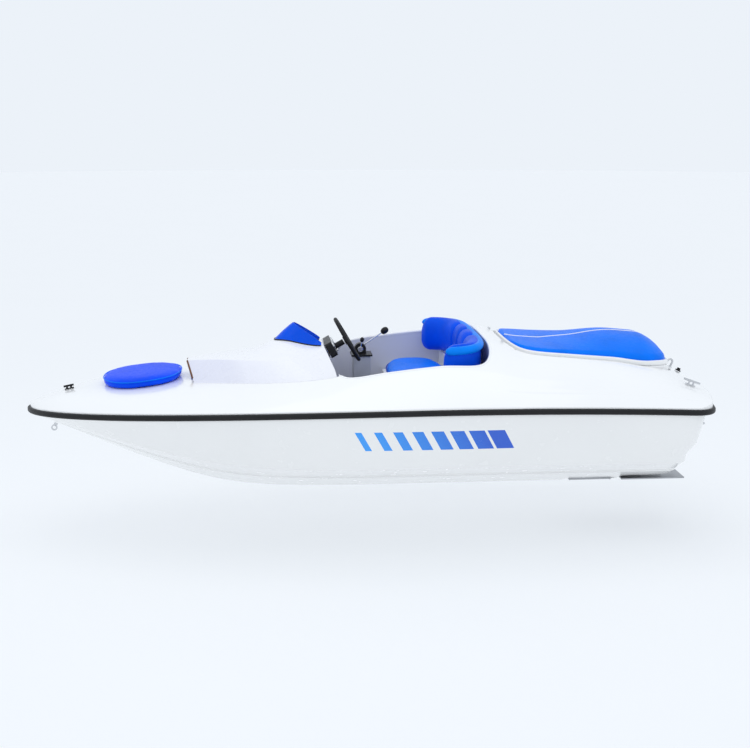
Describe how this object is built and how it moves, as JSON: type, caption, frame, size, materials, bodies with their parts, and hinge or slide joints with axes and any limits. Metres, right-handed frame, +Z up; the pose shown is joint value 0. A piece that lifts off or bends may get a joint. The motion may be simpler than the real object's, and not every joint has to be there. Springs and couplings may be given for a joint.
{
  "type": "small jet boat",
  "caption": "Small open jet boat: V-bottom hull with black rub rail, bow cushion, centre console with low screen, wrap-round bench, sun pad on engine hatch, jet drive.",
  "frame": {"origin": "on the centreline at the waterline, 2.23 m forward of the stern", "axes": "+X to the bow, +Y to port, +Z up"},
  "size_m": [4.599, 1.923, 1.1852],
  "materials": {
    "hull_gelcoat": "gloss",
    "deck_gelcoat": "gloss",
    "rail_rubber": "satin",
    "lining": "satin",
    "sole_mat": "matt",
    "trim_brown": "matt",
    "screen_acrylic": "gloss",
    "dash_plastic": "satin",
    "gauge_glass": "gloss",
    "stainless": "polished",
    "wheel_rubber": "satin",
    "pedestal_grey": "satin",
    "vinyl_blue": "satin",
    "engine_paint": "satin",
    "jet_aluminium": "cast"
  },
  "bodies": {
    "boat": {"hull_shell": "hull_gelcoat", "deck": "deck_gelcoat", "rub_rail": "rail_rubber", "cockpit_lining": "lining", "cockpit_sole": "sole_mat", "console_hood": "deck_gelcoat", "console_trim": "trim_brown", "windscreen": "screen_acrylic", "dash_panel": "dash_plastic", "gauges": "gauge_glass", "ignition_switch": "stainless", "steering_column": "dash_plastic", "control_pedestal": "pedestal_grey", "control_head": "dash_plastic", "throttle_lever": "stainless", "shift_lever": "stainless", "bench_base": "lining", "bench_cushion": "vinyl_blue", "backrest": "vinyl_blue", "bow_cushion": "vinyl_blue", "hatch_hinges": "stainless", "engine": "engine_paint", "bow_light": "dash_plastic", "bow_eye": "stainless", "tow_eye": "stainless", "stern_eyes": "stainless", "stern_cleats": "stainless", "stern_light": "dash_plastic", "fuel_cap": "dash_plastic", "drain_plugs": "stainless", "intake_grate": "jet_aluminium", "jet_pump": "jet_aluminium", "ride_plate": "jet_aluminium"},
    "hatch": {"engine_hatch": "deck_gelcoat", "hatch_latch": "stainless", "sun_pad_port": "vinyl_blue", "sun_pad_starboard": "vinyl_blue"},
    "wheel": {"steering_wheel": "wheel_rubber"},
    "pump_shaft": {"drive_shaft": "stainless", "impeller": "stainless"},
    "nozzle": {"steering_nozzle": "jet_aluminium"},
    "bucket": {"reverse_bucket": "jet_aluminium"}
  },
  "joints": [
    {"name": "wheel_turn", "type": "hinge", "parent": "boat", "child": "wheel", "pos_m": [0.175, 0, 0.775], "axis": [-0.866, 0, 0.5], "range_deg": [-270, 270]},
    {"name": "nozzle_steer", "type": "hinge", "parent": "boat", "child": "nozzle", "pos_m": [-2.06, 0, -0.09], "axis": [0, 0, 1], "range_deg": [-24, 24]},
    {"name": "bucket_lower", "type": "hinge", "parent": "boat", "child": "bucket", "pos_m": [-2, 0, -0.045], "axis": [0, -1, 0], "range_deg": [0, 55]},
    {"name": "shaft_spin", "type": "hinge", "parent": "boat", "child": "pump_shaft", "pos_m": [-1.8, 0, -0.09], "axis": [1, 0, 0], "continuous": true},
    {"name": "hatch_lift", "type": "hinge", "parent": "boat", "child": "hatch", "pos_m": [-0.854, 0, 0.797], "axis": [0, 1, 0], "range_deg": [0, 60]}
  ],
  "couplings": [
    {"joint": "nozzle_steer", "follows": "wheel_turn", "ratio": -0.0888}
  ]
}
